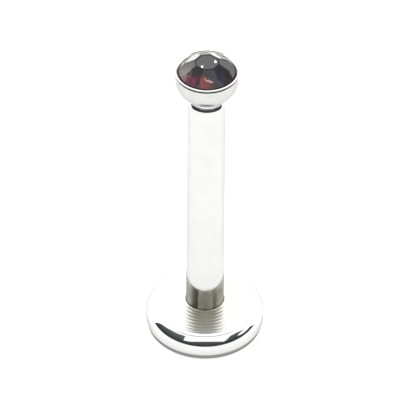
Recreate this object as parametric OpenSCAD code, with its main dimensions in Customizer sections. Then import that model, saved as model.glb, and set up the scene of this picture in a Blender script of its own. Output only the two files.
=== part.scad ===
// Labret stud: a flat back disc with a post, and a stone in a bezel cup that screws into it.
// Millimetres. The disc lies on z = 0, the post stands along +z, and z = 0 on the axis is the origin.

/* [Back disc] */
// Diameter of the back disc
disc_d = 5; // [4:0.1:7]
// Thickness of the back disc where the post stands on it
disc_t = 1.23; // [1.1:0.01:1.6]
// How far the turned face falls from the post to its edge
face_fall = 0.1; // [0.02:0.01:0.14]
// Width of the rounded shoulder, from the rim to the edge of the face
shoulder_w = 0.38; // [0.3:0.01:0.5]
// Height of the rounded shoulder, from the top of the rim to the edge of the face
shoulder_h = 0.46; // [0.3:0.01:0.5]
// Radius of the shoulder's rounding
shoulder_r = 0.81; // [0.6:0.01:1.2]
// Width of the bevel round the underside
bevel_w = 0.06; // [0.02:0.01:0.2]
// Height of the bevel round the underside
bevel_h = 0.26; // [0.1:0.02:0.32]

/* [Post] */
// Diameter of the post
post_d = 1.6; // [1.2:0.1:2]
// Length of the post, from the disc's face to its open end
post_l = 11.2; // [6:0.1:16]
// Rounding where the post meets the disc's face
foot_r = 0.06; // [0.02:0.01:0.2]
// Width of the chamfer round the open end of the post
chamfer_w = 0.065; // [0.04:0.005:0.1]
// Height of the chamfer round the open end of the post
chamfer_h = 0.13; // [0.06:0.01:0.2]
// Wall of the post round its socket
socket_wall = 0.2; // [0.14:0.01:0.26]
// Depth of the socket, down to the drill's shoulder
socket_depth = 2.5; // [2.3:0.1:4]

/* [Stem] */
// Length of the stem that the socket holds
stem_l = 2.2; // [1.2:0.1:2.3]
// Clearance between the stem and the socket, on each side
stem_clearance = 0.04; // [0.02:0.01:0.08]
// Chamfer round the tip of the stem
stem_chamfer = 0.1; // [0.04:0.01:0.14]
// Gap under the setting where it seats on the post
seat_gap = 0.01; // [0.005:0.005:0.03]

/* [Setting] */
// Wall of the cup round the stone's girdle
cup_wall = 0.08; // [0.07:0.01:0.2]
// How far the lip stands out past the wall of the cup
lip_proud = 0.01; // [0:0.005:0.04]
// How far the lip leans in over the stone's girdle
lip_grip = 0.025; // [0.01:0.005:0.05]
// Height of the lip's outer face
lip_h = 0.05; // [0.04:0.01:0.2]
// Thickness of the lip where it closes over the stone
lip_t = 0.04; // [0.02:0.01:0.06]
// Width of the groove turned under the lip
groove_w = 0.08; // [0.03:0.01:0.1]
// Depth of the groove turned under the lip
groove_depth = 0.04; // [0.01:0.005:0.05]
// Height of the straight wall between the groove and the rounded bowl
wall_h = 0.29; // [0.05:0.01:0.4]
// Height of the collar that seats on the post
collar_h = 0.18; // [0.08:0.01:0.25]
// How much the collar narrows from its seat up to the bowl, on each side
collar_taper = 0.02; // [0.01:0.005:0.04]
// Metal between the tip of the stone and the end of the post
floor_t = 0.32; // [0.2:0.01:0.6]

/* [Stone] */
// Diameter of the stone at its girdle
stone_d = 2.44; // [1.8:0.02:3]
// Height of the stone's crown, from the girdle to the table
crown_h = 0.55; // [0.3:0.01:0.7]
// Width of the stone's table, across its flats
table_w = 0.94; // [0.6:0.02:1.3]
// Thickness of the stone's girdle
girdle_t = 0.05; // [0.02:0.01:0.1]
// Depth of the stone's pavilion, from the girdle to its tip
pavilion_h = 1.02; // [0.8:0.01:1.2]
// Gap between the stone and its cup
stone_gap = 0.015; // [0.01:0.005:0.03]
// Main facets round the crown and round the pavilion
facets = 8; // [6:1:10]
// Turn of the first crown facet from +x, in degrees
facet_turn = 7.5; // [0:0.5:45]

/* [Hidden] */

$fn = 96;
eps = 0.01;

// Sizes of the disc
disc_r = disc_d / 2;
face_r = disc_r - shoulder_w;
face_edge_h = disc_t - face_fall;
rim_h = face_edge_h - shoulder_h;

// The middle of the shoulder's arc, square to the middle of the line between its two ends
shoulder_chord = sqrt(pow(shoulder_w, 2) + pow(shoulder_h, 2));
arc_reach = sqrt(pow(shoulder_r, 2) - pow(shoulder_chord / 2, 2));
arc_r = face_r + shoulder_w / 2 - arc_reach * shoulder_h / shoulder_chord;
arc_h = rim_h + shoulder_h / 2 - arc_reach * shoulder_w / shoulder_chord;

// Sizes of the post, its socket and the stem in it
post_r = post_d / 2;
post_end = disc_t + post_l;
socket_r = post_r - socket_wall;
drill_point = 118;
drill_h = socket_r / tan(drill_point / 2);
stem_r = socket_r - stem_clearance;

// Sizes of the stone, whose steeper girdle facets lie between the main ones
stone_r = stone_d / 2;
facet_step = 360 / facets;
crown_angle = atan(crown_h / (stone_r - table_w / 2));
pavilion_angle = atan(pavilion_h / stone_r);
girdle_facet_steeper = 6;
girdle_ridge = 1 / cos(facet_step / 4);
main_ridge = 1 / cos(facet_step / 2);

// Heights in the setting, counted from the end of the post
tip_z = floor_t;
girdle_z = tip_z + pavilion_h;
girdle_top = girdle_z + girdle_t;
ridge_rise = (stone_r * girdle_ridge - stone_r + lip_grip) * tan(crown_angle + girdle_facet_steeper);
lip_under = girdle_top + ridge_rise + stone_gap;
rim_z = lip_under + lip_t;
groove_top = rim_z - lip_h;
wall_top = groove_top - groove_w;
bowl_z = wall_top - wall_h;

// Radii of the setting
cup_r = stone_r + stone_gap;
wall_r = cup_r + cup_wall;
lip_r = wall_r + lip_proud;
mouth_r = stone_r - lip_grip;
seat_r = post_r - chamfer_w;
collar_r = seat_r - collar_taper;
bowl_w = wall_r - collar_r;
bowl_r = (pow(bowl_w, 2) + pow(bowl_z - collar_h, 2)) / (2 * bowl_w);

// A rectangle of the profile, from the axis out to a radius and between two heights
module ring_section(r, low, high) {
    translate([0, low]) square([r, high - low]);
}

// The disc: a bevel, a straight rim, a rounded shoulder, and a face that rises to the post
module disc_profile() {
    polygon([
        [0, 0], [disc_r - bevel_w, 0], [disc_r, bevel_h], [disc_r, rim_h], [face_r, face_edge_h],
        [post_r + foot_r, disc_t], [0, disc_t]
    ]);
    intersection() {
        translate([arc_r, arc_h]) circle(shoulder_r);
        translate([face_r, rim_h]) square([shoulder_w, shoulder_h]);
    }
}

// The post with its chamfer, rounded into the disc's face at its foot
module post_profile() {
    polygon([
        [0, 0], [post_r, 0], [post_r, post_end - chamfer_h], [seat_r, post_end], [0, post_end]
    ]);
    difference() {
        ring_section(post_r + foot_r, 0, disc_t + foot_r);
        translate([post_r + foot_r, disc_t + foot_r]) circle(foot_r);
    }
}

// The drilled socket, open at the top of the post
module socket_profile() {
    floor_z = post_end - socket_depth;
    polygon([
        [0, floor_z - drill_h], [socket_r, floor_z], [socket_r, post_end + eps], [0, post_end + eps]
    ]);
}

module labret_base() {
    color("silver")
        rotate_extrude()
            difference() {
                union() {
                    disc_profile();
                    post_profile();
                }
                socket_profile();
            }
}

// The outside of the setting: lip, groove, straight wall, round bowl, collar and stem
module setting_outline() {
    ring_section(lip_r, groove_top, rim_z);
    ring_section(wall_r - groove_depth, wall_top, groove_top);
    ring_section(wall_r, bowl_z, wall_top);
    polygon([
        [0, seat_gap], [seat_r, seat_gap], [collar_r, collar_h], [collar_r, bowl_z], [0, bowl_z]
    ]);
    intersection() {
        translate([wall_r - bowl_r, bowl_z]) circle(bowl_r);
        ring_section(wall_r, collar_h, bowl_z);
    }
    polygon([
        [0, -stem_l], [stem_r - stem_chamfer, -stem_l], [stem_r, stem_chamfer - stem_l],
        [stem_r, bowl_z], [0, bowl_z]
    ]);
}

// The seat cut for the stone, a cone one gap clear of the pavilion's ridges, with the lip over it
module cup_profile() {
    seat_slope = tan(pavilion_angle) / main_ridge;
    seat_low = tip_z - stone_gap / cos(pavilion_angle);
    polygon([
        [0, seat_low], [cup_r, seat_low + cup_r * seat_slope], [cup_r, lip_under],
        [mouth_r, lip_under], [mouth_r, rim_z + eps], [0, rim_z + eps]
    ]);
}

module jewel_setting() {
    color("gainsboro")
        translate([0, 0, post_end])
            rotate_extrude()
                difference() {
                    setting_outline();
                    cup_profile();
                }
}

// The half of space under a facet that passes a height on the girdle's wall
module under_facet(turn, height, tilt) {
    reach = 4 * stone_d;
    rotate([0, 0, turn])
        translate([stone_r, 0, height])
            rotate([0, tilt, 0])
                translate([-reach, -reach, -2 * reach]) cube(2 * reach);
}

module stone() {
    color("maroon")
        translate([0, 0, post_end])
            intersection() {
                translate([0, 0, tip_z]) cylinder(h = girdle_top + crown_h - tip_z, r = stone_r);
                intersection_for (i = [0:facets - 1]) {
                    turn = facet_turn + i * facet_step;
                    intersection() {
                        under_facet(turn, girdle_top, crown_angle);
                        under_facet(turn + facet_step / 2, girdle_top, crown_angle + girdle_facet_steeper);
                        under_facet(turn, girdle_z, 180 - pavilion_angle);
                        under_facet(turn + facet_step / 2, girdle_z, 180 - pavilion_angle - girdle_facet_steeper);
                    }
                }
            }
}

labret_base();
jewel_setting();
stone();
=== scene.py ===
"""Looks of a labret stud: a back disc with its post, and a stone in a cup that screws into it."""

import logging
import math
from collections.abc import Callable, Iterable, Sequence
from dataclasses import dataclass
from enum import Enum, IntEnum
from typing import Any

import bmesh
import bpy
from mathutils import Matrix, Quaternion, Vector


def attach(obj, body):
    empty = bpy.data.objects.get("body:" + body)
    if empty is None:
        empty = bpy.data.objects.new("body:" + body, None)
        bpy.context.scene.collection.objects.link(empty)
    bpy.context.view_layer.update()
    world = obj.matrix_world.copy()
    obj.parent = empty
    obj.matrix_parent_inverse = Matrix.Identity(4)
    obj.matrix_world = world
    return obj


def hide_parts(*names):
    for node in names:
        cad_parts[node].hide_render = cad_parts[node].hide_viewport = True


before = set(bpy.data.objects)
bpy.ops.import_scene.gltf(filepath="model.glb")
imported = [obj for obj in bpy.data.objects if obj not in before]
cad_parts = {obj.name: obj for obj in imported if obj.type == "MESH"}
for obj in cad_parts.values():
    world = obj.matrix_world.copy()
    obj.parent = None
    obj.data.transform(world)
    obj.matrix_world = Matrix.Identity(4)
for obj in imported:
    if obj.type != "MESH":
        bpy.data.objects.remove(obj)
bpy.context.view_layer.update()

LOG = logging.getLogger("labret_stud")

MM = 0.001
MERGE = 0.0002 * MM
FULL_TURN = 2 * math.pi
# An edge that folds by more than this is shaded sharp.
SHARP_FOLD = math.radians(30)
PICTURE_SIDE = 400
WHITE = (1.0, 1.0, 1.0, 1.0)

# A Mix node has one pair of sockets for numbers and one for colours. A Map Range node takes, in
# order, the value, the two limits that it comes from and the two that it goes to.
FLOAT_A, FLOAT_B = 2, 3
COLOUR_A, COLOUR_B, COLOUR_OUT = 6, 7, 2

# The angles of the light tent: from the camera's side to straight behind, and to overhead.
BEHIND = 180.0
OVERHEAD = 90.0

Point = tuple[float, float]
Place = tuple[float, float, float]
Zones = tuple[tuple[float, str], ...]
Inputs = dict[str | int, Any] | Sequence[Any]
Tree = bpy.types.NodeTree
Socket = bpy.types.NodeSocket


class Body(Enum):
    """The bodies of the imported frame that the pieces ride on."""

    BASE = "base"
    HEAD = "head"


class Slot(Enum):
    """The record's material slots."""

    BASE_STEEL = "base_steel"
    SETTING_STEEL = "setting_steel"
    STONE_GLASS = "stone_glass"


class BaseFinish(IntEnum):
    """The finishes of the back disc and its post, in the order of the piece's materials."""

    POLISH = 0
    TURNING = 1
    ROUGH_CUT_AND_PAINTED_SHADE = 2
    PAINTED_SHADE = 3
    POST_POLISH = 4


class SettingFinish(IntEnum):
    """The finishes of the setting, in the order of the piece's materials."""

    POLISH = 0
    PAINTED_SHADE = 1
    BOWL_POLISH = 2


class StoneFinish(IntEnum):
    """The finishes of the stone, in the order of the piece's materials."""

    GLASS = 0
    WORN_AND_PAINTED_SHADE = 1


def linear(colour: str) -> tuple[float, float, float, float]:
    """Turns an sRGB hex colour to the linear values that the shaders read.

    Args:
        colour: Six hex digits after a hash sign.

    Returns:
        Red, green, blue and alpha, each from 0 to 1.
    """
    parts = [int(colour[i : i + 2], 16) / 255 for i in (1, 3, 5)]
    red, green, blue = (p / 12.92 if p <= 0.04045 else ((p + 0.055) / 1.055) ** 2.4 for p in parts)
    return red, green, blue, 1.0


def add_node(tree: Tree, kind: str, inputs: Inputs = (), **settings: Any) -> bpy.types.Node:
    """Adds a node with its settings and links.

    Args:
        tree: The node tree that gets the node.
        kind: The node's type, such as ShaderNodeMath.
        inputs: A value or the output socket that is linked, for each input by its name or
            number, or in a list for the first inputs.
        settings: The node's own properties.

    Returns:
        The new node.
    """
    node = tree.nodes.new(kind)
    for name, value in settings.items():
        setattr(node, name, value)
    for key, value in inputs.items() if isinstance(inputs, dict) else enumerate(inputs):
        if isinstance(value, Socket):
            tree.links.new(value, node.inputs[key])
        else:
            node.inputs[key].default_value = value
    return node


def new_material(name: str) -> tuple[bpy.types.Material, Tree]:
    """Makes an empty node material.

    Args:
        name: The material's name.

    Returns:
        The material and its node tree.
    """
    material = bpy.data.materials.new(name)
    material.use_nodes = True
    material.node_tree.nodes.clear()
    return material, material.node_tree


def pattern_scale(size_mm: float) -> float:
    """Gives the texture scale at which a pattern repeats every size_mm millimetres."""
    return 1 / (size_mm * MM)


@dataclass(frozen=True)
class SurgicalSteel:
    """316L surgical steel, with the dull places and the fine relief that its making leaves."""

    name: str
    colour: str
    dull_colour: str
    # The colour that it gives to what it mirrors at a slant.
    edge_colour: str
    roughness: float
    dull_roughness: float
    # The pattern's values at which the steel starts to lose its shine, and has lost it.
    dull_limits: Point
    relief_mm: float

    def patterns(self, tree: Tree) -> tuple[Socket, Socket]:
        """Gives the pattern of the dull places and that of the relief, each from 0 to 1."""
        raise NotImplementedError

    def tone(self, tree: Tree, dullness: Socket) -> Socket:
        """Gives the steel's colour.

        Args:
            tree: The material's nodes.
            dullness: The pattern of the dull places.

        Returns:
            The colour.
        """
        return add_node(
            tree,
            "ShaderNodeMix",
            {"Factor": dullness, COLOUR_A: linear(self.colour), COLOUR_B: linear(self.dull_colour)},
            data_type="RGBA",
        ).outputs[COLOUR_OUT]

    def haze(self, tree: Tree, dullness: Socket) -> Socket:
        """Gives the steel's roughness.

        Args:
            tree: The material's nodes.
            dullness: The pattern of the dull places.

        Returns:
            The roughness.
        """
        clean, dull = self.dull_limits
        return add_node(
            tree, "ShaderNodeMapRange", [dullness, clean, dull, self.roughness, self.dull_roughness]
        ).outputs["Result"]

    def material(self) -> bpy.types.Material:
        """Builds the steel's nodes.

        Returns:
            The material.
        """
        made, tree = new_material(self.name)
        dullness, relief = self.patterns(tree)
        normal = add_node(
            tree, "ShaderNodeBump", {"Height": relief, "Strength": 1.0, "Distance": self.relief_mm * MM}
        ).outputs["Normal"]
        shader = add_node(
            tree,
            "ShaderNodeBsdfPrincipled",
            {
                "Base Color": self.tone(tree, dullness),
                "Metallic": 1.0,
                "Roughness": self.haze(tree, dullness),
                "Specular Tint": linear(self.edge_colour),
                "Normal": normal,
            },
        ).outputs["BSDF"]
        add_node(tree, "ShaderNodeOutputMaterial", {"Surface": shader})
        return made


@dataclass(frozen=True)
class PolishedSteel(SurgicalSteel):
    """316L surgical steel, turned and then tumble polished.

    It gives the eye near mirror reflections, a little warm, with faint smudges and hairlines.
    """

    name: str = "surgical_steel_316l_tumble_polished"
    colour: str = "#D3D3D2"
    dull_colour: str = "#C9C9C8"
    edge_colour: str = "#CECECC"
    roughness: float = 0.035
    dull_roughness: float = 0.085
    dull_limits: Point = (0.35, 0.7)
    relief_mm: float = 0.00012
    smudge_mm: float = 0.9
    # The hairlines are finer on the real stud: these are as coarse as they need to show.
    hairline_mm: float = 0.07
    hairline_draw: Place = (1.0, 1.0, 0.12)

    def patterns(self, tree: Tree) -> tuple[Socket, Socket]:
        """Draws the smudges, and the hairlines along the axis.

        Args:
            tree: The material's nodes.

        Returns:
            The smudges and the hairlines.
        """
        place = add_node(tree, "ShaderNodeTexCoord").outputs["Object"]
        drawn = add_node(
            tree, "ShaderNodeMapping", {"Vector": place, "Scale": self.hairline_draw}
        ).outputs["Vector"]
        smudges, hairlines = (
            add_node(
                tree,
                "ShaderNodeTexNoise",
                {"Vector": where, "Scale": pattern_scale(size_mm), "Detail": detail},
            ).outputs["Fac"]
            for where, size_mm, detail in ((place, self.smudge_mm, 3.0), (drawn, self.hairline_mm, 2.0))
        )
        return smudges, hairlines


@dataclass(frozen=True)
class PostSteel(PolishedSteel):
    """316L surgical steel, polished, whose colour near the post's foot is darkened by painted shade.

    It gives the eye a clean mirror that turns to a rougher warm grey in the corner over the disc, where
    the darker grey is painted shade.
    """

    name: str = "surgical_steel_316l_post_polished"
    colour: str = "#CBCBCA"
    dull_colour: str = "#BFBFBE"
    edge_colour: str = "#D6D6D4"
    # The rougher foot, whose darker colour, in patches, is painted shade.
    foot: PolishedSteel = PolishedSteel(
        colour="#C4C4B6", dull_colour="#808072", roughness=0.1, dull_roughness=0.2
    )
    foot_shade_patch_mm: float = 0.25
    satin_below_mm: float = 2.2
    polished_above_mm: float = 2.6

    def over_foot(self, tree: Tree) -> Socket:
        """Gives how far a point is clear of the foot and its painted shade.

        Args:
            tree: The material's nodes.

        Returns:
            The polish's share, from 0 to 1.
        """
        place = add_node(tree, "ShaderNodeTexCoord").outputs["Object"]
        height = add_node(tree, "ShaderNodeSeparateXYZ", {"Vector": place}).outputs["Z"]
        return add_node(
            tree,
            "ShaderNodeMapRange",
            [height, self.satin_below_mm * MM, self.polished_above_mm * MM],
            interpolation_type="SMOOTHSTEP",
        ).outputs["Result"]

    def tone(self, tree: Tree, dullness: Socket) -> Socket:
        """Gives the polished steel's colour, which turns to the foot's painted shade below.

        Args:
            tree: The material's nodes.
            dullness: The pattern of the dull places.

        Returns:
            The colour.
        """
        place = add_node(tree, "ShaderNodeTexCoord").outputs["Object"]
        # The foot's darker colour, in patches, is painted shade.
        shade_patches = add_node(
            tree,
            "ShaderNodeTexNoise",
            {"Vector": place, "Scale": pattern_scale(self.foot_shade_patch_mm), "Detail": 3.0},
        ).outputs["Fac"]
        return add_node(
            tree,
            "ShaderNodeMix",
            {
                "Factor": self.over_foot(tree),
                COLOUR_A: self.foot.tone(tree, shade_patches),
                COLOUR_B: super().tone(tree, dullness),
            },
            data_type="RGBA",
        ).outputs[COLOUR_OUT]

    def haze(self, tree: Tree, dullness: Socket) -> Socket:
        """Gives the polished steel's roughness, which turns to the foot's below.

        Args:
            tree: The material's nodes.
            dullness: The pattern of the dull places.

        Returns:
            The roughness.
        """
        return add_node(
            tree,
            "ShaderNodeMix",
            {
                "Factor": self.over_foot(tree),
                FLOAT_A: self.foot.haze(tree, dullness),
                FLOAT_B: super().haze(tree, dullness),
            },
            data_type="FLOAT",
        ).outputs["Result"]


@dataclass(frozen=True)
class TurnedSteel(SurgicalSteel):
    """316L surgical steel as the lathe leaves it, with fine rings round the axis.

    It gives the eye a bright satin face whose reflections are drawn out across the rings.
    """

    colour: str = "#AEAEAA"
    dull_colour: str = "#A2A29E"
    edge_colour: str = "#B9B9B7"
    roughness: float = 0.14
    dull_roughness: float = 0.26
    dull_limits: Point = (0.3, 0.7)
    relief_mm: float = 0.0008
    # The tool's finest rings are about 0.01 mm apart: these are as coarse as they need to show.
    ring_mm: float = 0.045

    def patterns(self, tree: Tree) -> tuple[Socket, Socket]:
        """Draws the rings, which are both the dull places and the relief.

        Args:
            tree: The material's nodes.

        Returns:
            The rings, twice.
        """
        place = add_node(tree, "ShaderNodeTexCoord").outputs["Object"]
        flat = add_node(
            tree, "ShaderNodeMapping", {"Vector": place, "Scale": (1.0, 1.0, 0.0)}
        ).outputs["Vector"]
        radius = add_node(tree, "ShaderNodeVectorMath", [flat], operation="LENGTH").outputs["Value"]
        rings = add_node(
            tree,
            "ShaderNodeTexNoise",
            {"W": radius, "Scale": pattern_scale(self.ring_mm), "Detail": 2.0},
            noise_dimensions="1D",
        ).outputs["Fac"]
        return rings, rings


@dataclass(frozen=True)
class CutGlass:
    """Dark garnet glass with drawn zones of colour, cut and polished.

    It gives the eye grey sheets of reflected light over a nearly black body, which turns milky
    magenta and red towards one side, with a painted highlight at the edge of the red. The body's
    pale left end and lighter bands are painted reflection, and its darker rear is painted shade.
    """

    name: str = "garnet_glass_cut_and_polished"
    # The colours from left to right, in millimetres off the axis: the body's, then the tint's. The
    # body's pale left end and its lighter bands are painted reflection.
    body_zones_with_painted_reflection: Zones = (
        (-1.2, "#80706A"), (-0.68, "#74645E"), (-0.6, "#34242E"), (-0.2, "#241C24"),
        (0.15, "#22202C"), (0.3, "#34345A"), (0.45, "#1C1C2E"), (0.6, "#343452"),
        (0.8, "#1E1E2E"), (0.92, "#44202A"), (1.0, "#261C24"), (1.08, "#52343A"),
        (1.2, "#2C2A30"),
    )
    tint_zones: Zones = (
        (-1.2, "#6A3C48"), (-0.86, "#7C3448"), (-0.68, "#5C1E44"), (-0.52, "#742A48"),
        (-0.38, "#3A1226"), (-0.34, "#2C0C14"), (-0.27, "#782C26"), (-0.06, "#762422"),
        (0.1, "#581412"), (0.2, "#2C0808"), (0.4, "#1C0608"), (1.2, "#180A10"),
    )
    zone_reach: float = 1.3
    # The streaks shift the zones' edges, and the grain lightens and darkens all of them.
    streak_draw: Place = (1.0, 0.7, 0.7)
    streak_mm: float = 0.22
    streak_shift: float = 0.045
    grain_mm: float = 0.11
    grain_limits: Point = (0.3, 0.7)
    grain_dark: float = 0.65
    grain_light: float = 1.5
    # The tint lies towards the front left, from tint_start to tint_full millimetres that way.
    tint_heading: Place = (-0.28, -0.96, 0.0)
    tint_start: float = 0.62
    tint_full: float = 0.88
    # Painted shade: the body is darkened at the rear, to the share below up to rear_end, and kept whole
    # from front_start.
    rear_end: float = 0.15
    front_start: float = 0.45
    painted_rear_shade_share: float = 0.2
    body_clearness: float = 0.7
    tint_clearness: float = 0.35
    # The painted highlight's middle and half size, in millimetres across and towards the tint.
    painted_highlight_place: Point = (0.08, 0.87)
    painted_highlight_half_size: Point = (0.24, 0.026)
    painted_highlight_core: float = 0.6
    painted_highlight_wander: float = 0.16
    painted_highlight_colour: str = "#A88A8A"
    depth_colour: str = "#A0506A"
    density_per_mm: float = 0.9
    ior: float = 1.5

    def zoned(self, tree: Tree, along: Socket, zones: Zones) -> Socket:
        """Colours a coordinate by zones.

        Args:
            tree: The material's nodes.
            along: The coordinate, from 0 to 1 over twice the zones' reach.
            zones: Each zone's middle in millimetres with its colour.

        Returns:
            The colour.
        """
        ramp = add_node(tree, "ShaderNodeValToRGB", {"Fac": along})
        marks = ramp.color_ramp.elements
        while len(marks) < len(zones):
            marks.new(0.5)
        for mark, (where, colour) in zip(marks, zones):
            mark.position = (where + self.zone_reach) / (2 * self.zone_reach)
            mark.color = linear(colour)
        return ramp.outputs["Color"]

    def body_and_tint(
        self, tree: Tree, across: Socket, shift: Socket, toward: Socket, tinted: Socket
    ) -> Socket:
        """Colours the stone by its zones, darker at the rear by painted shade, without its grain and
        painted highlight.

        Args:
            tree: The material's nodes.
            across: The point's place from left to right, in metres.
            shift: The streaks' shift of the zones.
            toward: How far the point lies towards the tint, in millimetres.
            tinted: The tint's share, from 0 to 1.

        Returns:
            The colour.
        """
        along = add_node(
            tree, "ShaderNodeMapRange", [across, -self.zone_reach * MM, self.zone_reach * MM]
        ).outputs["Result"]
        streaked = add_node(tree, "ShaderNodeMath", [along, shift], operation="ADD").outputs["Value"]
        # Painted shade: the body's colour is darker towards the rear.
        light = add_node(
            tree, "ShaderNodeMapRange", [toward, self.rear_end, self.front_start, self.painted_rear_shade_share, 1.0]
        ).outputs["Result"]
        body = add_node(
            tree,
            "ShaderNodeVectorMath",
            {0: self.zoned(tree, streaked, self.body_zones_with_painted_reflection), "Scale": light},
            operation="SCALE",
        ).outputs["Vector"]
        tint = self.zoned(tree, streaked, self.tint_zones)
        return add_node(
            tree, "ShaderNodeMix", {"Factor": tinted, COLOUR_A: body, COLOUR_B: tint}, data_type="RGBA"
        ).outputs[COLOUR_OUT]

    def painted_highlight(self, tree: Tree, across: Socket, toward: Socket, grain: Socket) -> Socket:
        """Gives how far a point lies in the painted highlight, a pale stroke whose edge wanders with the
        grain.

        Args:
            tree: The material's nodes.
            across: The point's place from left to right, in metres.
            toward: How far the point lies towards the tint, in millimetres.
            grain: The glass's grain, from 0 to 1.

        Returns:
            The painted highlight's share, from 0 to 1.
        """
        side, reach = self.painted_highlight_place
        width, height = self.painted_highlight_half_size
        wandering = add_node(
            tree, "ShaderNodeMath", [grain, self.painted_highlight_wander, toward], operation="MULTIPLY_ADD"
        ).outputs["Value"]
        point = add_node(tree, "ShaderNodeCombineXYZ", {"X": across, "Y": wandering}).outputs["Vector"]
        centred = add_node(
            tree,
            "ShaderNodeMapping",
            {
                "Vector": point,
                "Location": (-side / width, -reach / height, 0.0),
                "Scale": (1 / (width * MM), 1 / height, 0.0),
            },
        ).outputs["Vector"]
        distance = add_node(tree, "ShaderNodeVectorMath", [centred], operation="LENGTH").outputs["Value"]
        return add_node(
            tree, "ShaderNodeMapRange", [distance, 1.0, self.painted_highlight_core], interpolation_type="SMOOTHSTEP"
        ).outputs["Result"]

    def material(self) -> bpy.types.Material:
        """Builds the glass's nodes.

        Returns:
            The material.
        """
        made, tree = new_material(self.name)
        place = add_node(tree, "ShaderNodeTexCoord").outputs["Object"]
        across = add_node(tree, "ShaderNodeSeparateXYZ", {"Vector": place}).outputs["X"]
        drawn = add_node(
            tree, "ShaderNodeMapping", {"Vector": place, "Scale": self.streak_draw}
        ).outputs["Vector"]
        streaks, grain = (
            add_node(
                tree,
                "ShaderNodeTexNoise",
                {"Vector": drawn, "Scale": pattern_scale(size_mm), "Detail": detail},
            ).outputs["Fac"]
            for size_mm, detail in ((self.streak_mm, 3.0), (self.grain_mm, 2.0))
        )
        shift = add_node(
            tree, "ShaderNodeMapRange", [streaks, 0.0, 1.0, -self.streak_shift, self.streak_shift]
        ).outputs["Result"]
        heading = tuple(part / MM for part in self.tint_heading)
        forward = add_node(
            tree, "ShaderNodeVectorMath", [place, heading], operation="DOT_PRODUCT"
        ).outputs["Value"]
        toward = add_node(tree, "ShaderNodeMath", [forward, shift], operation="ADD").outputs["Value"]
        tinted = add_node(
            tree,
            "ShaderNodeMapRange",
            [toward, self.tint_start, self.tint_full],
            interpolation_type="SMOOTHSTEP",
        ).outputs["Result"]
        highlighted = self.painted_highlight(tree, across, toward, grain)
        grain_low, grain_high = self.grain_limits
        speckle = add_node(
            tree, "ShaderNodeMapRange", [grain, grain_low, grain_high, self.grain_dark, self.grain_light]
        ).outputs["Result"]
        grained = add_node(
            tree,
            "ShaderNodeVectorMath",
            {0: self.body_and_tint(tree, across, shift, toward, tinted), "Scale": speckle},
            operation="SCALE",
        ).outputs["Vector"]
        # A pale pink stroke of painted highlight, less clear, at the edge of the red.
        colour = add_node(
            tree,
            "ShaderNodeMix",
            {"Factor": highlighted, COLOUR_A: grained, COLOUR_B: linear(self.painted_highlight_colour)},
            data_type="RGBA",
        ).outputs[COLOUR_OUT]
        clearness_beside_highlight = add_node(
            tree, "ShaderNodeMapRange", [tinted, 0.0, 1.0, self.body_clearness, self.tint_clearness]
        ).outputs["Result"]
        clearness = add_node(
            tree, "ShaderNodeMath", [clearness_beside_highlight, highlighted], operation="SUBTRACT", use_clamp=True
        ).outputs["Value"]
        shader = add_node(
            tree,
            "ShaderNodeBsdfPrincipled",
            {"Base Color": colour, "Roughness": 0.0, "IOR": self.ior, "Transmission Weight": clearness},
        ).outputs["BSDF"]
        volume = add_node(
            tree,
            "ShaderNodeVolumeAbsorption",
            {"Color": linear(self.depth_colour), "Density": self.density_per_mm / MM},
        ).outputs["Volume"]
        add_node(tree, "ShaderNodeOutputMaterial", {"Surface": shader, "Volume": volume})
        return made


@dataclass(frozen=True)
class WornEdgeAndPaintedShade:
    """The glass on the worn edges between the facets and on the rim, coloured near black as painted
    shade.

    It gives the eye dark lines of painted shade round the table and down the crown, and a painted shadow
    inside the lip.
    """

    name: str = "garnet_glass_worn_edge_painted_shade"
    colour: str = "#141213"
    pale_colour: str = "#241F20"
    grain_mm: float = 0.05
    roughness: float = 0.5
    gloss: float = 0.1

    def material(self) -> bpy.types.Material:
        """Builds the worn edge's nodes.

        Returns:
            The material.
        """
        made, tree = new_material(self.name)
        place = add_node(tree, "ShaderNodeTexCoord").outputs["Object"]
        grain = add_node(
            tree,
            "ShaderNodeTexNoise",
            {"Vector": place, "Scale": pattern_scale(self.grain_mm), "Detail": 2.0},
        ).outputs["Fac"]
        colour = add_node(
            tree,
            "ShaderNodeMix",
            {"Factor": grain, COLOUR_A: linear(self.colour), COLOUR_B: linear(self.pale_colour)},
            data_type="RGBA",
        ).outputs[COLOUR_OUT]
        shader = add_node(
            tree,
            "ShaderNodeBsdfPrincipled",
            {"Base Color": colour, "Roughness": self.roughness, "Specular IOR Level": self.gloss},
        ).outputs["BSDF"]
        add_node(tree, "ShaderNodeOutputMaterial", {"Surface": shader})
        return made


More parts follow.
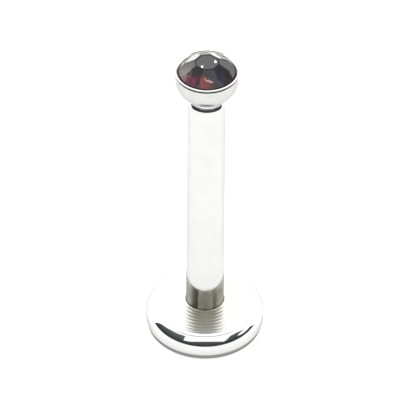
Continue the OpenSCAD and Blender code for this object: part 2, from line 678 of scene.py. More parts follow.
class TurnedProfile:
    """Half of a turned piece's outline in the XZ plane, which is spun about the Z axis.

    Its lengths are given in millimetres, and its heights count from a base.
    """

    corner_segments: int = 4

    def __init__(self, radius: float, height: float, base: float = 0.0) -> None:
        """Starts the outline.

        Args:
            radius: Where it starts, out from the axis.
            height: Where it starts, above the base.
            base: The height that the others count from.
        """
        self.base = base
        self.mesh = bmesh.new()
        self.tip = self.mesh.verts.new(self.place(radius, height))
        self.corners: list[tuple[bmesh.types.BMVert, float]] = []

    def place(self, radius: float, height: float) -> Vector:
        """Gives a point of the outline in metres."""
        return Vector((radius * MM, 0.0, (self.base + height) * MM))

    def line_to(self, radius: float, height: float, cuts: int = 0, soften: float = 0.0) -> None:
        """Draws a straight line.

        Args:
            radius: Where the line ends, out from the axis.
            height: Where the line ends, above the base.
            cuts: The number of points to add along the line.
            soften: How far from the corner at its end that corner's rounding starts.
        """
        start, end = self.tip.co.copy(), self.place(radius, height)
        for step in range(1, cuts + 2):
            grown = bmesh.ops.extrude_vert_indiv(self.mesh, verts=[self.tip])
            self.tip = grown["verts"][0]
            self.tip.co = start.lerp(end, step / (cuts + 1))
        if soften:
            self.corners.append((self.tip, soften * MM))

    def arc(self, centre: Point, angle: float, steps: int) -> None:
        """Draws an arc from the outline's end.

        Args:
            centre: The arc's centre as a radius and a height.
            angle: The turn in radians, positive from the axis upwards.
            steps: The number of straight steps.
        """
        turned = bmesh.ops.spin(
            self.mesh,
            geom=[self.tip],
            cent=self.place(*centre),
            axis=(0.0, -1.0, 0.0),
            dvec=(0.0, 0.0, 0.0),
            angle=angle,
            steps=steps,
            use_merge=False,
            use_duplicate=False,
        )
        self.tip = next(v for v in turned["geom_last"] if isinstance(v, bmesh.types.BMVert))

    def shape(self, move: Callable[[Vector], Vector]) -> None:
        """Moves every point of the outline by a function of its place."""
        for point in self.mesh.verts:
            point.co = move(point.co)

    def spin(self, steps: int) -> bmesh.types.BMesh:
        """Rounds the soft corners and spins the outline into a closed skin.

        Args:
            steps: The number of steps round the full turn.

        Returns:
            The skin, with its seam and poles merged and its normals outward.
        """
        for corner, offset in self.corners:
            bmesh.ops.bevel(
                self.mesh,
                geom=[corner],
                offset=offset,
                offset_type="OFFSET",
                segments=self.corner_segments,
                profile=0.5,
                affect="VERTICES",
                material=-1,
                clamp_overlap=True,
            )
        bmesh.ops.spin(
            self.mesh,
            geom=self.mesh.verts[:] + self.mesh.edges[:],
            cent=(0.0, 0.0, 0.0),
            axis=(0.0, 0.0, 1.0),
            dvec=(0.0, 0.0, 0.0),
            angle=FULL_TURN,
            steps=steps,
            use_merge=True,
            use_duplicate=False,
        )
        bmesh.ops.remove_doubles(self.mesh, verts=self.mesh.verts[:], dist=MERGE)
        bmesh.ops.recalc_face_normals(self.mesh, faces=self.mesh.faces[:])
        return self.mesh


def cut_thread(mesh: bmesh.types.BMesh, radius: float, span: Point, pitch: float, depth: float) -> None:
    """Cuts a helical thread into a straight round wall, running out at both ends.

    Args:
        mesh: The piece, with several rows of points to a pitch.
        radius: The wall's radius, in millimetres like the other lengths.
        span: The lowest and the highest end of the thread.
        pitch: The height of one turn.
        depth: The depth of the thread, negative for one that is cut outward.
    """
    low, high = span
    for point in mesh.verts:
        height = point.co.z / MM
        if abs(point.co.xy.length - radius * MM) > MERGE or not low < height < high:
            continue
        turn = math.atan2(point.co.y, point.co.x) / FULL_TURN
        along = (height / pitch - turn) % 1.0
        run_out = min(1.0, (high - height) / pitch, (height - low) / pitch)
        cut = depth * run_out * (1 - abs(2 * along - 1))
        point.co.xy = point.co.xy * (1 - cut / radius)


def dress_turned(mesh: bmesh.types.BMesh, finish_at: Callable[[float, float], int]) -> None:
    """Gives a turned mesh its finishes, and shades it smooth but for its sharp edges.

    Args:
        mesh: The turned mesh.
        finish_at: Gives the finish at a radius and a height in millimetres.
    """
    for face in mesh.faces:
        centre = face.calc_center_median()
        face.material_index = finish_at(centre.xy.length / MM, centre.z / MM)
        face.smooth = True
    for edge in mesh.edges:
        edge.smooth = not (edge.is_manifold and edge.calc_face_angle(0.0) > SHARP_FOLD)


def finish_piece(
    mesh: bmesh.types.BMesh, name: str, materials: Iterable[bpy.types.Material], body: Body, slot: Slot
) -> bpy.types.Object:
    """Makes an object of a finished mesh and rides it on its body.

    Args:
        mesh: The finished mesh, which is freed.
        name: The piece's name.
        materials: The materials that its faces count from 0.
        body: The body that it rides on.
        slot: The record's slot that its finish belongs to; not used.

    Returns:
        The piece, at the origin.
    """
    data = bpy.data.meshes.new(name)
    mesh.to_mesh(data)
    mesh.free()
    for material in materials:
        data.materials.append(material)
    piece = bpy.data.objects.new(name, data)
    bpy.context.scene.collection.objects.link(piece)
    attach(piece, body.value)
    LOG.info("%s: %d faces on body %s", name, len(data.polygons), body.value)
    return piece


@dataclass
class BackDiscAndPost:
    """The back disc with its post, one turned piece of steel. Sizes are in millimetres."""

    disc_radius: float = 2.5
    disc_height: float = 1.23
    face_edge: float = 1.13
    face_radius: float = 2.12
    shoulder_radius: float = 0.81
    rim_height: float = 0.67
    bevel_width: float = 0.06
    bevel_height: float = 0.26
    post_radius: float = 0.8
    foot_radius: float = 0.06
    post_end: float = 12.43
    chamfer_width: float = 0.065
    chamfer_height: float = 0.13
    socket_radius: float = 0.6
    socket_floor: float = 9.93
    drill_depth: float = 0.36
    thread_pitch: float = 0.25
    thread_depth: float = 0.03
    thread_low: float = 10.23
    thread_high: float = 12.4
    # The ridges that the turning tool leaves on the face, which fade out at both its edges.
    ridge_pitch: float = 0.17
    ridge_height: float = 0.0048
    ridge_crest: float = 0.75
    ridge_fade: float = 0.05
    # The painted shade in the corner at the post's foot, as heights over the disc.
    painted_shade_low: float = 0.01
    painted_shade_high: float = 0.056
    edge: float = 0.012
    # How near to a limit the middle of a face may lie.
    margin: float = 0.01
    steps: int = 256
    shoulder_steps: int = 48
    face_cuts: int = 149
    foot_steps: int = 12
    post_cuts: int = 16
    socket_cuts: int = 60
    polish: PolishedSteel = PolishedSteel()
    turning: TurnedSteel = TurnedSteel("surgical_steel_316l_fine_turned")
    # Steel that is left as it was cut, in the bevel and the socket: the eye gets a dull grey. In the
    # bevel at the rim's foot the darker grey is also painted contact shade.
    rough_cut_and_painted_shade: TurnedSteel = TurnedSteel(
        "surgical_steel_316l_rough_turned_painted_shade",
        colour="#A6A6A3",
        dull_colour="#8C8C8A",
        roughness=0.3,
        dull_roughness=0.42,
    )
    # Painted shade on the turned steel: the eye gets a dark line in the corner at the post's foot.
    painted_shade: TurnedSteel = TurnedSteel(
        "painted_shade_in_post_corner",
        colour="#71706B",
        dull_colour="#4F4E4A",
        roughness=0.4,
        dull_roughness=0.6,
    )
    post_polish: PostSteel = PostSteel()

    def ridged(self, place: Vector) -> Vector:
        """Sinks a point of the disc's face between the turning tool's ridges.

        Args:
            place: A point of the outline.

        Returns:
            The point, lower by the ridge's fall there.
        """
        radius, height = place.x / MM, place.z / MM
        inner, outer = self.post_radius + self.foot_radius, self.face_radius
        if not inner < radius < outer or height < self.face_edge:
            return place
        along = radius / self.ridge_pitch % 1.0
        rising = along / self.ridge_crest
        falling = (1 - along) / (1 - self.ridge_crest)
        fade = min(1.0, (outer - radius) / self.ridge_fade, (radius - inner) / self.ridge_fade)
        sunk = self.ridge_height * fade * (1 - min(rising, falling))
        return place - Vector((0.0, 0.0, sunk * MM))

    def outline(self) -> TurnedProfile:
        """Draws the outline from the underside's centre to the socket's floor.

        Returns:
            The outline, with the face's ridges.
        """
        width = self.disc_radius - self.face_radius
        rise = self.face_edge - self.rim_height
        chord = math.hypot(width, rise)
        reach = math.sqrt(self.shoulder_radius**2 - (chord / 2) ** 2)
        shoulder = (
            self.face_radius + width / 2 - reach * rise / chord,
            self.rim_height + rise / 2 - reach * width / chord,
        )
        sweep = 2 * math.asin(chord / 2 / self.shoulder_radius)
        foot = self.post_radius + self.foot_radius
        chamfer = self.post_end - self.chamfer_height
        profile = TurnedProfile(0.0, 0.0)
        profile.line_to(self.disc_radius - self.bevel_width, 0.0, soften=self.edge)
        profile.line_to(self.disc_radius, self.bevel_height, soften=self.edge)
        profile.line_to(self.disc_radius, self.rim_height)
        profile.arc(shoulder, sweep, self.shoulder_steps)
        profile.line_to(foot, self.disc_height, cuts=self.face_cuts)
        profile.arc((foot, self.disc_height + self.foot_radius), -FULL_TURN / 4, self.foot_steps)
        profile.line_to(self.post_radius, chamfer, cuts=self.post_cuts, soften=self.edge)
        profile.line_to(self.post_radius - self.chamfer_width, self.post_end, soften=self.edge)
        profile.line_to(self.socket_radius, self.post_end, soften=self.edge)
        profile.line_to(self.socket_radius, self.socket_floor, cuts=self.socket_cuts)
        profile.line_to(0.0, self.socket_floor - self.drill_depth)
        profile.shape(self.ridged)
        return profile

    def finish_at(self, radius: float, height: float) -> BaseFinish:
        """Gives the finish of a place on the piece.

        Args:
            radius: The place's distance from the axis.
            height: The place's height over the underside.

        Returns:
            The finish.
        """
        above = height - self.disc_height
        in_socket = radius < self.socket_radius + self.thread_depth and above > 0
        if self.post_radius < radius < self.face_radius:
            # A dark ring of painted shade where the post meets the disc.
            if self.painted_shade_low < above < self.painted_shade_high:
                return BaseFinish.PAINTED_SHADE
            if self.rim_height < height and above < self.painted_shade_low:
                return BaseFinish.TURNING
        # The bevel at the rim's foot is painted contact shade as well as rough-cut steel.
        if in_socket or height < self.bevel_height - self.margin:
            return BaseFinish.ROUGH_CUT_AND_PAINTED_SHADE
        if radius < self.post_radius + self.margin:
            return BaseFinish.POST_POLISH
        return BaseFinish.POLISH

    def build(self) -> None:
        """Spins the piece, dresses it and puts it in place of the CAD node."""
        mesh = self.outline().spin(self.steps)
        threaded = (self.thread_low, self.thread_high)
        cut_thread(mesh, self.socket_radius, threaded, self.thread_pitch, -self.thread_depth)
        dress_turned(mesh, self.finish_at)
        kinds = (self.polish, self.turning, self.rough_cut_and_painted_shade, self.painted_shade, self.post_polish)
        finishes = [kind.material() for kind in kinds]
        piece = finish_piece(mesh, "back_disc_and_post", finishes, Body.BASE, Slot.BASE_STEEL)
        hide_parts("labret_base")


@dataclass
class JewelSetting:
    """The bezel cup with its stem, one turned piece of steel.

    Sizes are in millimetres, and heights count from the post's end.
    """

    post_end: float
    stem_length: float = 2.2
    stem_radius: float = 0.56
    stem_chamfer: float = 0.1
    thread_pitch: float = 0.25
    thread_depth: float = 0.045
    seat_gap: float = 0.01
    seat_radius: float = 0.735
    seat_rounding: float = 0.035
    collar_radius: float = 0.715
    collar_height: float = 0.18
    bowl_top: float = 1.069
    wall_radius: float = 1.315
    wall_top: float = 1.359
    groove_depth: float = 0.04
    groove_top: float = 1.439
    lip_radius: float = 1.325
    rim: float = 1.489
    rim_rounding: float = 0.03
    lip_under: float = 1.449
    lip_slope: float = 0.07
    lip_fall: float = 0.062
    mouth_radius: float = 1.195
    cup_radius: float = 1.235
    seat_low: float = 0.3
    seat_top: float = 1.254
    edge: float = 0.01
    # How near to a limit the middle of a face may lie, and the least metal over the seat.
    margin: float = 0.001
    skin: float = 0.02
    steps: int = 256
    stem_cuts: int = 68
    bowl_steps: int = 64
    polish: PolishedSteel = PolishedSteel(
        "surgical_steel_316l_setting_polished", colour="#C6C6C5", dull_colour="#BBBBBA"
    )
    # Painted shade in the turned groove: the eye gets a nearly black line.
    painted_shade: TurnedSteel = TurnedSteel(
        "painted_shade_in_groove",
        colour="#403F3D",
        dull_colour="#262524",
        roughness=0.4,
        dull_roughness=0.6,
    )
    # The bowl, which the wheel hardly reached: the eye gets softer reflections.
    bowl_polish: PolishedSteel = PolishedSteel(
        "surgical_steel_316l_bowl_half_polished",
        colour="#C2C2C1",
        dull_colour="#B0B0AF",
        roughness=0.08,
        dull_roughness=0.16,
        relief_mm=0.0003,
        smudge_mm=0.35,
    )

    def outline(self) -> TurnedProfile:
        """Draws the outline from the stem's tip, up the outside and down into the seat.

        Returns:
            The outline.
        """
        width = self.wall_radius - self.collar_radius
        rise = self.bowl_top - self.collar_height
        bowl = (width**2 + rise**2) / (2 * width)
        groove = self.wall_radius - self.groove_depth
        profile = TurnedProfile(0.0, -self.stem_length, base=self.post_end)
        profile.line_to(self.stem_radius - self.stem_chamfer, -self.stem_length, soften=self.edge)
        profile.line_to(self.stem_radius, self.stem_chamfer - self.stem_length, soften=self.edge)
        profile.line_to(self.stem_radius, self.seat_gap, cuts=self.stem_cuts)
        profile.line_to(self.seat_radius, self.seat_gap, soften=self.seat_rounding)
        profile.line_to(self.collar_radius, self.collar_height)
        profile.arc((self.wall_radius - bowl, self.bowl_top), math.asin(rise / bowl), self.bowl_steps)
        profile.line_to(self.wall_radius, self.wall_top, soften=self.edge)
        profile.line_to(groove, self.wall_top)
        profile.line_to(groove, self.groove_top)
        profile.line_to(self.lip_radius, self.groove_top, soften=self.edge)
        profile.line_to(self.lip_radius, self.rim, soften=self.rim_rounding)
        profile.line_to(self.mouth_radius + self.lip_slope, self.rim, soften=self.edge)
        profile.line_to(self.mouth_radius, self.rim - self.lip_fall)
        profile.line_to(self.cup_radius, self.lip_under)
        profile.line_to(self.cup_radius, self.seat_top)
        profile.line_to(0.0, self.seat_low)
        return profile

    def finish_at(self, radius: float, height: float) -> SettingFinish:
        """Gives the finish of a place on the piece.

        Args:
            radius: The place's distance from the axis.
            height: The place's height over the disc's underside.

        Returns:
            The finish.
        """
        above = height - self.post_end
        # The groove's nearly black line is painted shade.
        in_groove = self.wall_top - self.margin < above < self.groove_top + self.margin
        if in_groove and radius > self.cup_radius + self.margin:
            return SettingFinish.PAINTED_SHADE
        seat_share = (above - self.seat_low) / (self.seat_top - self.seat_low)
        seat = self.cup_radius * min(1.0, max(0.0, seat_share))
        if self.collar_height < above < self.wall_top and radius > seat + self.skin:
            return SettingFinish.BOWL_POLISH
        return SettingFinish.POLISH

    def build(self) -> None:
        """Spins the piece, dresses it and puts it in place of the CAD node."""
        mesh = self.outline().spin(self.steps)
        low = self.post_end - self.stem_length + self.stem_chamfer / 2
        high = self.post_end - self.thread_pitch
        cut_thread(mesh, self.stem_radius, (low, high), self.thread_pitch, self.thread_depth)
        dress_turned(mesh, self.finish_at)
        finishes = [kind.material() for kind in (self.polish, self.painted_shade, self.bowl_polish)]
        piece = finish_piece(mesh, "bezel_cup_and_stem", finishes, Body.HEAD, Slot.SETTING_STEEL)
        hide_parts("jewel_setting")


@dataclass
class CutStone:
    """The round brilliant stone. Sizes are in millimetres, angles in degrees."""

    post_end: float
    radius: float = 1.22
    crown: float = 0.55
    table_width: float = 0.94
    girdle: float = 0.05
    pavilion: float = 1.02
    tip: float = 0.32
    facets: int = 8
    facet_turn: float = 7.5
    steeper: float = 6.0
    edge: float = 0.027
    girdle_sides: int = 96
    # The ridges that kept their sharp edge, as turns from +X, and how near to one counts as it.
    sharp_ridges: tuple[float, ...] = (75.0, 120.0, 255.0, 300.0)
    ridge_window: float = 5.0
    # The edges with the widest painted shade: the table's rear ones, and the ridge on the right flank.
    wide_table_edges: tuple[float, ...] = (52.5, 97.5, 142.5)
    wide_ridge: float = 30.0
    wide_strip: float = 0.055
    # The painted shadow on the rim beside the lip: where it starts from the axis, and its sides' turns.
    rim_reach: float = 1.145
    rim_turns: tuple[float, ...] = tuple(165.0 + 7.5 * index for index in range(29))
    glass: CutGlass = CutGlass()
    worn_and_painted_shade: WornEdgeAndPaintedShade = WornEdgeAndPaintedShade()

    @staticmethod
    def facing(turn: float, tilt: float) -> Vector:
        """Gives a face's heading.

        Args:
            turn: Its turn from +X.
            tilt: Its lean from level.

        Returns:
            The heading, of length 1.
        """
        across, lean = math.radians(turn), math.radians(tilt)
        level = Vector((math.cos(across), math.sin(across), 0.0))
        return level * math.sin(lean) + Vector((0.0, 0.0, math.cos(lean)))

    def cut(self, mesh: bmesh.types.BMesh, turn: float, height: float, tilt: float) -> None:
        """Cuts one flat facet.

        Args:
            mesh: The rough stone.
            turn: The facet's turn from +X.
            height: The height at which the facet meets the girdle's wall.
            tilt: The lean of the facet's face from level.
        """
        through = self.facing(turn, 90.0) * self.radius * MM + Vector((0.0, 0.0, height * MM))
        cut = bmesh.ops.bisect_plane(
            mesh,
            geom=mesh.verts[:] + mesh.edges[:] + mesh.faces[:],
            dist=MERGE,
            plane_co=through,
            plane_no=self.facing(turn, tilt),
            clear_outer=True,
        )
        rim = [e for e in cut["geom_cut"] if isinstance(e, bmesh.types.BMEdge)]
        bmesh.ops.edgeloop_fill(mesh, edges=rim)

    def wear_edges(self, mesh: bmesh.types.BMesh, table: float) -> None:
        """Takes the sharpness off the crown's edges.

        Args:
            mesh: The cut stone.
            table: The table's height.
        """
        crown = []
        for edge in mesh.edges:
            low, high = sorted(v.co.z for v in edge.verts)
            middle = (edge.verts[0].co + edge.verts[1].co) / 2
            turn = math.degrees(math.atan2(middle.y, middle.x)) % 360
            by_ridge = any(abs(turn - ridge) < self.ridge_window for ridge in self.sharp_ridges)
            kept = low < table * MM - MERGE and by_ridge
            if high > table * MM - MERGE and not kept:
                crown.append(edge)
        worn_and_painted_shade = bmesh.ops.bevel(
            mesh,
            geom=crown,
            offset=self.edge * MM,
            offset_type="OFFSET",
            segments=1,
            profile=0.5,
            affect="EDGES",
            material=-1,
            clamp_overlap=False,
        )
        # The rounded edges get the near-black glass: painted shade.
        for face in worn_and_painted_shade["faces"]:
            face.material_index = StoneFinish.WORN_AND_PAINTED_SHADE
        bmesh.ops.recalc_face_normals(mesh, faces=mesh.faces[:])
        mesh.normal_update()

    @staticmethod
    def facet(mesh: bmesh.types.BMesh, facing: Vector) -> bmesh.types.BMFace:
        """Finds the largest of the facets that face a heading."""
        return max(mesh.faces, key=lambda f: (round(f.normal.dot(facing), 4), f.calc_area()))

    def darken_beyond(
        self, mesh: bmesh.types.BMesh, facets: list[bmesh.types.BMFace], turn: float, reach: float
    ) -> None:
        """Gives the near-black painted shade to what some facets have past an upright plane.

        Args:
            mesh: The cut stone.
            facets: The facets.
            turn: The turn of the plane's heading from +X.
            reach: The plane's distance from the axis.
        """
        outward = self.facing(turn, 90.0)
        edges = {edge for facet in facets for edge in facet.edges}
        corners = {corner for facet in facets for corner in facet.verts}
        parted = bmesh.ops.bisect_plane(
            mesh,
            geom=[*facets, *edges, *corners],
            dist=MERGE,
            plane_co=outward * reach * MM,
            plane_no=outward,
        )
        for part in parted["geom"]:
            if not isinstance(part, bmesh.types.BMFace):
                continue
            if part.calc_center_median().dot(outward) > reach * MM:
                part.material_index = StoneFinish.WORN_AND_PAINTED_SHADE

    def build(self) -> None:
        """Cuts the facets from a round rough, dresses the stone and replaces the CAD node."""
        low = self.post_end + self.tip
        girdle_low = low + self.pavilion
        girdle_top = girdle_low + self.girdle
        table = girdle_top + self.crown
        crown_lean = math.degrees(math.atan(self.crown / (self.radius - self.table_width / 2)))
        pavilion_lean = math.degrees(math.atan(self.pavilion / self.radius))
        mesh = bmesh.new()
        bmesh.ops.create_cone(
            mesh,
            cap_ends=True,
            segments=self.girdle_sides,
            radius1=self.radius * MM,
            radius2=self.radius * MM,
            depth=(table - low) * MM,
            matrix=Matrix.Translation((0.0, 0.0, (table + low) / 2 * MM)),
        )
        step = 360 / self.facets
        for index in range(self.facets):
            turn = self.facet_turn + index * step
            between = turn + step / 2
            self.cut(mesh, turn, girdle_top, crown_lean)
            self.cut(mesh, between, girdle_top, crown_lean + self.steeper)
            self.cut(mesh, turn, girdle_low, 180 - pavilion_lean)
            self.cut(mesh, between, girdle_low, 180 - pavilion_lean - self.steeper)
        bmesh.ops.remove_doubles(mesh, verts=mesh.verts[:], dist=MERGE)
        bmesh.ops.recalc_face_normals(mesh, faces=mesh.faces[:])
        self.wear_edges(mesh, table)
        table_reach = self.table_width / 2 - self.edge - self.wide_strip
        for turn in self.wide_table_edges:
            self.darken_beyond(mesh, [self.facet(mesh, self.facing(0.0, 0.0))], turn, table_reach)
        flank = self.facet(mesh, self.facing(self.facet_turn, crown_lean))
        self.darken_beyond(mesh, [flank], self.wide_ridge + 90.0, -self.edge - self.wide_strip)
        # The rim beside the lip gets the near-black glass: a painted shadow.
        for turn in self.rim_turns:
            facets = [
                f
                for f in mesh.faces
                if f.material_index == StoneFinish.GLASS
                and f.calc_center_median().z > girdle_top * MM
            ]
            self.darken_beyond(mesh, facets, turn, self.rim_reach)
        finishes = [self.glass.material(), self.worn_and_painted_shade.material()]
        piece = finish_piece(mesh, "cut_stone", finishes, Body.HEAD, Slot.STONE_GLASS)
        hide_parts("stone")


@dataclass(frozen=True)
class Ray:
    """What the light's nodes read of a ray: its heading, and its angles in degrees."""

    heading: Socket
    # How far the heading is towards the camera's side, from -1 to 1.
    front: Socket
    around: Socket
    up: Socket
    angles: Socket


@dataclass(frozen=True)
class Patch:
    """An oval patch of the light, with a soft edge.

    Its middle and half size are degrees round from the camera and degrees up.
    """

    middle: Point
    half_size: Point
    # Where the edge starts and ends to fade, as squared shares of the half size.
    fade: Point = (0.7, 1.3)

    def level(self, tree: Tree, ray: Ray, within: float, beyond: float) -> Socket:
        """Gives one level within the patch and another beyond it.

        Args:
            tree: The world's nodes.
            ray: The ray.
            within: The level within the patch.
            beyond: The level beyond it.

        Returns:
            The ray's level.
        """
        around, up = self.middle
        width, height = self.half_size
        centred = add_node(
            tree,
            "ShaderNodeMapping",
            {
                "Vector": ray.angles,
                "Location": (-around / width, -up / height, 0.0),
                "Scale": (1 / width, 1 / height, 0.0),
            },
        ).outputs["Vector"]
        squared = add_node(
            tree, "ShaderNodeVectorMath", [centred, centred], operation="DOT_PRODUCT"
        ).outputs["Value"]
        start, end = self.fade
        return add_node(
            tree,
            "ShaderNodeMapRange",
            [squared, start, end, within, beyond],
            interpolation_type="SMOOTHSTEP",
        ).outputs["Result"]


@dataclass
class LightTent:
    """The soft studio light: a white tent, open towards a darker room on the camera's side.

    Its angles are in degrees.
    """

    back: float = 2.75
    front: float = 1.75
    # How far past the sides the tent's front level and back level are reached.
    turn_over: float = 0.3
    # The room's levels at the height of the floor and at room_top degrees up.
    room_low: float = 0.035
    room_high: float = 0.2
    room_top: float = 36.0
    room_tint: str = "#F4F9FF"
    # The upper edge of the tent's opening, as degrees round from the camera and degrees up.
    opening: tuple[Point, ...] = (
        (-180, 0), (-101, 0), (-97, 18), (-92, 28), (-82, 34), (-73, 39), (-59, 42), (-46, 46),
        (-41, 44), (-38, 20), (-27, 22.6), (-14, 29.8), (0, 32.7), (12, 31.3), (25, 25.6),
        (35, 17.4), (43, 26), (52, 35.5), (66, 36), (77.5, 29), (85, 19), (92, 12), (99, 0),
        (180, 0),
    )
    opening_blur: float = 1.0
    # The seam over the camera, which droops with the square of the angle and fades at its ends.
    seam_height: float = 61.5
    seam_droop: float = 0.0025
    seam_core: float = 1.32
    seam_half_width: float = 2.2
    seam_shade: float = 0.2
    seam_reach: float = 55.0
    seam_end: float = 82.5
    # A slit in the room's side wall, through which the tent's light comes back.
    slit: Patch = Patch((80.0, 18.5), (17.0, 6.5))
    # Grey cards with the share of the light that each leaves, which the stone's facets mirror.
    cards: tuple[tuple[Patch, float], ...] = (
        (Patch((-84.0, 50.0), (3.0, 3.0)), 0.45),
        (Patch((104.0, 39.5), (3.5, 3.5)), 0.3),
        (Patch((146.9, 6.1), (3.0, 3.0)), 0.6),
    )
    # The headings of small bare lamps behind the stud, which the stone's table mirrors.
    lamps: tuple[Place, ...] = ((0.000226, 0.76102, 0.6486), (0.002944, 0.76173, 0.64785))
    lamp_core: float = 0.000208
    lamp_half_size: float = 0.00026
    lamp_level: float = 40.0
    # The level of the backdrop that the camera itself sees.
    seen_level: float = 1.2

    @staticmethod
    def ray(tree: Tree) -> Ray:
        """Works out what the light's nodes read of a ray.

        Args:
            tree: The world's nodes.

        Returns:
            The ray.
        """
        heading = add_node(tree, "ShaderNodeTexCoord").outputs["Generated"]
        parts = add_node(tree, "ShaderNodeSeparateXYZ", {"Vector": heading}).outputs
        front = add_node(
            tree, "ShaderNodeMath", [parts["Y"], -1.0], operation="MULTIPLY"
        ).outputs["Value"]
        turn = add_node(tree, "ShaderNodeMath", [parts["X"], front], operation="ARCTAN2")
        rise = add_node(tree, "ShaderNodeMath", [parts["Z"]], operation="ARCSINE")
        around, up = (
            add_node(
                tree, "ShaderNodeMath", [angle.outputs["Value"]], operation="DEGREES"
            ).outputs["Value"]
            for angle in (turn, rise)
        )
        angles = add_node(tree, "ShaderNodeCombineXYZ", {"X": around, "Y": up}).outputs["Vector"]
        return Ray(heading, front, around, up, angles)

    def in_room(self, tree: Tree, ray: Ray) -> Socket:
        """Gives how far a ray meets the room through the tent's opening.

        Args:
            tree: The world's nodes.
            ray: The ray.

        Returns:
            The room's share, from 0 to 1.
        """
        share = add_node(tree, "ShaderNodeMapRange", [ray.around, -BEHIND, BEHIND]).outputs["Result"]
        curve = add_node(tree, "ShaderNodeFloatCurve", {"Value": share})
        points = curve.mapping.curves[0].points
        while len(points) < len(self.opening):
            points.new(0.5, 0.5)
        for point, (around, up) in zip(points, self.opening):
            point.location = ((around + BEHIND) / (2 * BEHIND), up / OVERHEAD)
            point.handle_type = "VECTOR"
        curve.mapping.update()
        edge = add_node(
            tree, "ShaderNodeMath", [curve.outputs["Value"], OVERHEAD], operation="MULTIPLY"
        ).outputs["Value"]
        below = add_node(tree, "ShaderNodeMath", [edge, ray.up], operation="SUBTRACT").outputs["Value"]
        return add_node(
            tree,
            "ShaderNodeMapRange",
            [below, -self.opening_blur, self.opening_blur],
            interpolation_type="SMOOTHSTEP",
        ).outputs["Result"]

    def room(self, tree: Tree, ray: Ray) -> Socket:
        """Gives the room's level, with the light that comes through the slit.

        Args:
            tree: The world's nodes.
            ray: The ray.

        Returns:
            The ray's level in the room.
        """
        wall = add_node(
            tree, "ShaderNodeMapRange", [ray.up, 0.0, self.room_top, self.room_low, self.room_high]
        ).outputs["Result"]
        slit = self.slit.level(tree, ray, self.front, 0.0)
        return add_node(tree, "ShaderNodeMath", [wall, slit], operation="ADD").outputs["Value"]

    def seam(self, tree: Tree, ray: Ray) -> Socket:
        """Gives the share of the light that the seam leaves.

        Args:
            tree: The world's nodes.
            ray: The ray.

        Returns:
            The share, 1 away from the seam.
        """
        squared = add_node(
            tree, "ShaderNodeMath", [ray.around, ray.around], operation="MULTIPLY"
        ).outputs["Value"]
        drooped = add_node(
            tree, "ShaderNodeMath", [squared, self.seam_droop, ray.up], operation="MULTIPLY_ADD"
        ).outputs["Value"]
        above = add_node(
            tree, "ShaderNodeMath", [drooped, self.seam_height], operation="SUBTRACT"
        ).outputs["Value"]
        from_seam, aside = (
            add_node(tree, "ShaderNodeMath", [offset], operation="ABSOLUTE").outputs["Value"]
            for offset in (above, ray.around)
        )
        shade = add_node(
            tree,
            "ShaderNodeMapRange",
            [from_seam, self.seam_core, self.seam_half_width, self.seam_shade, 1.0],
            interpolation_type="SMOOTHSTEP",
        ).outputs["Result"]
        past_end = add_node(
            tree,
            "ShaderNodeMapRange",
            [aside, self.seam_reach, self.seam_end],
            interpolation_type="SMOOTHSTEP",
        ).outputs["Result"]
        return add_node(tree, "ShaderNodeMath", [shade, past_end], operation="MAXIMUM").outputs["Value"]

    def tent(self, tree: Tree, ray: Ray) -> Socket:
        """Gives the tent's level, with its seam, the grey cards and the lamps.

        Args:
            tree: The world's nodes.
            ray: The ray.

        Returns:
            The ray's level on the tent.
        """
        level = add_node(
            tree,
            "ShaderNodeMapRange",
            [ray.front, self.turn_over, -self.turn_over, self.front, self.back],
            interpolation_type="SMOOTHSTEP",
        ).outputs["Result"]
        cards = [card.level(tree, ray, share, 1.0) for card, share in self.cards]
        for shade in (self.seam(tree, ray), *cards):
            level = add_node(
                tree, "ShaderNodeMath", [level, shade], operation="MULTIPLY"
            ).outputs["Value"]
        for lamp in self.lamps:
            from_lamp = add_node(
                tree, "ShaderNodeVectorMath", [ray.heading, lamp], operation="DISTANCE"
            ).outputs["Value"]
            shine = add_node(
                tree,
                "ShaderNodeMapRange",
                [from_lamp, self.lamp_half_size, self.lamp_core, 0.0, self.lamp_level],
            ).outputs["Result"]
            level = add_node(tree, "ShaderNodeMath", [level, shine], operation="ADD").outputs["Value"]
        return level

    def build(self) -> None:
        """Makes the world whose light depends on the direction alone."""
        world = bpy.data.worlds.new("light_tent")
        bpy.context.scene.world = world
        world.use_nodes = True
        tree = world.node_tree
        tree.nodes.clear()
        ray = self.ray(tree)
        in_room = self.in_room(tree, ray)
        level = add_node(
            tree,
            "ShaderNodeMix",
            {"Factor": in_room, FLOAT_A: self.tent(tree, ray), FLOAT_B: self.room(tree, ray)},
            data_type="FLOAT",
        ).outputs["Result"]
        tint = add_node(
            tree,
            "ShaderNodeMix",
            {"Factor": in_room, COLOUR_A: WHITE, COLOUR_B: linear(self.room_tint)},
            data_type="RGBA",
        ).outputs[COLOUR_OUT]
        light = add_node(tree, "ShaderNodeBackground", {"Color": tint, "Strength": level})
        seen = add_node(tree, "ShaderNodeBackground", {"Color": WHITE, "Strength": self.seen_level})
        camera_ray = add_node(tree, "ShaderNodeLightPath").outputs["Is Camera Ray"]
        mixed = add_node(
            tree, "ShaderNodeMixShader", {"Fac": camera_ray, 1: light.outputs[0], 2: seen.outputs[0]}
        ).outputs["Shader"]
        add_node(tree, "ShaderNodeOutputWorld", {"Surface": mixed})
        LOG.info("light tent: %d points on the opening's edge", len(self.opening))


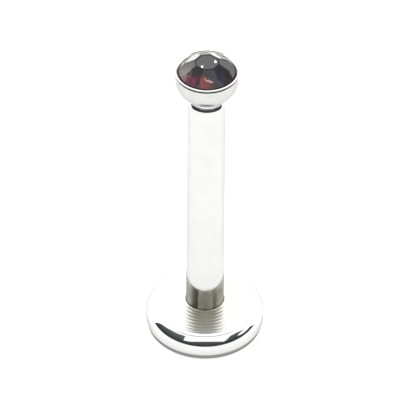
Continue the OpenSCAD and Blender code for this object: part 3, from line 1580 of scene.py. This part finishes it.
@dataclass(frozen=True)
class LitAcrylic:
    """White acrylic, cast and matt, lit from below.

    It gives the eye a white ground with no shadow, which is brighter behind the stud.
    """

    name: str = "acrylic_white_lit_from_below"
    colour: str = "#D2D2D2"
    roughness: float = 0.6
    glow: float = 0.7
    back_glow: float = 3.2
    back_start_mm: float = 8.0
    back_end_mm: float = 30.0

    def material(self) -> bpy.types.Material:
        """Builds the acrylic's nodes.

        Returns:
            The material.
        """
        made, tree = new_material(self.name)
        place = add_node(tree, "ShaderNodeTexCoord").outputs["Object"]
        depth = add_node(tree, "ShaderNodeSeparateXYZ", {"Vector": place}).outputs["Y"]
        glow = add_node(
            tree,
            "ShaderNodeMapRange",
            [depth, self.back_start_mm * MM, self.back_end_mm * MM, self.glow, self.back_glow],
            interpolation_type="SMOOTHSTEP",
        ).outputs["Result"]
        shader = add_node(
            tree,
            "ShaderNodeBsdfPrincipled",
            {
                "Base Color": linear(self.colour),
                "Roughness": self.roughness,
                "Emission Color": linear(self.colour),
                "Emission Strength": glow,
            },
        ).outputs["BSDF"]
        add_node(tree, "ShaderNodeOutputMaterial", {"Surface": shader})
        return made


@dataclass
class WhiteTable:
    """The plain pale floor: a light table, wide enough to fill the view. Sizes are in millimetres."""

    radius: float = 600.0
    sides: int = 96
    # How far it lies under the stud, so that the two faces don't coincide.
    drop: float = 0.002
    top: LitAcrylic = LitAcrylic()

    def build(self) -> None:
        """Makes the floor."""
        mesh = bmesh.new()
        bmesh.ops.create_circle(mesh, cap_ends=True, segments=self.sides, radius=self.radius * MM)
        data = bpy.data.meshes.new("white_table")
        mesh.to_mesh(data)
        mesh.free()
        data.materials.append(self.top.material())
        table = bpy.data.objects.new("white_table", data)
        table.location = (0.0, 0.0, -self.drop * MM)
        bpy.context.scene.collection.objects.link(table)
        LOG.info("white table laid")


@dataclass
class StudioCamera:
    """The camera at the photograph's viewing angle. Lengths are in millimetres.

    The picture's scale is in pixels to a millimetre at the aim, and its axis column is the
    pixel column that the post's axis crosses.
    """

    elevation: float = 42.0
    distance: float = 204.0
    aim_height: float = 6.81
    picture_scale: float = 24.0
    axis_column: float = 205.81
    roll: float = 0.46
    sensor: float = 36.0
    nearest: float = 10.0
    farthest: float = 5000.0

    def build(self) -> None:
        """Makes the camera and sets it as the scene's own."""
        data = bpy.data.cameras.new("studio_camera")
        data.sensor_width = self.sensor
        data.lens = self.sensor * self.picture_scale * self.distance / PICTURE_SIDE
        data.clip_start = self.nearest * MM
        data.clip_end = self.farthest * MM
        camera = bpy.data.objects.new("studio_camera", data)
        lift = math.radians(self.elevation)
        back = Vector((0.0, -math.cos(lift), math.sin(lift)))
        aside = (self.axis_column - PICTURE_SIDE / 2) / self.picture_scale
        aim = Vector((-aside, 0.0, self.aim_height)) * MM
        camera.location = aim + back * self.distance * MM
        camera.rotation_mode = "QUATERNION"
        level = (-back).to_track_quat("-Z", "Y")
        camera.rotation_quaternion = level @ Quaternion((0.0, 0.0, 1.0), math.radians(self.roll))
        bpy.context.scene.collection.objects.link(camera)
        bpy.context.scene.camera = camera
        LOG.info("camera at %s", tuple(round(v, 4) for v in camera.location))


def main() -> None:
    """Builds the stud, its stage and its camera, in order."""
    logging.basicConfig(level=logging.INFO, format="%(name)s: %(message)s")
    bpy.context.scene.view_settings.view_transform = "Standard"
    StudioCamera().build()
    LightTent().build()
    WhiteTable().build()
    base = BackDiscAndPost()
    base.build()
    JewelSetting(base.post_end).build()
    CutStone(base.post_end).build()


if __name__ == "__main__":
    main()
